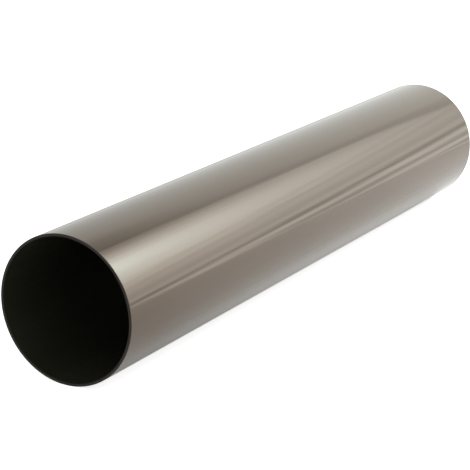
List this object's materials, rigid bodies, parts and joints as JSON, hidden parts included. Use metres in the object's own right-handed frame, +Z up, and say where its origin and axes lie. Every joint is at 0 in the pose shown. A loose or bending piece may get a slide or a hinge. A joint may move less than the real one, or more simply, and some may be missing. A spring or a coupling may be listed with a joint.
{
  "type": "downpipe",
  "caption": "Straight length of round plain-ended rainwater downpipe, glossy grey-brown plastic, open right through, lying on its side.",
  "frame": {"origin": "centre of the pipe's length, on the floor under its axis", "axes": "+X along the pipe's axis, away from the end that faces the camera in the picture; +Z up"},
  "size_m": [0.4, 0.075, 0.075],
  "materials": {
    "pipe": "glossy, metallic grey-brown skin"
  },
  "bodies": {
    "root": {"downpipe": "pipe"}
  },
  "joints": []
}
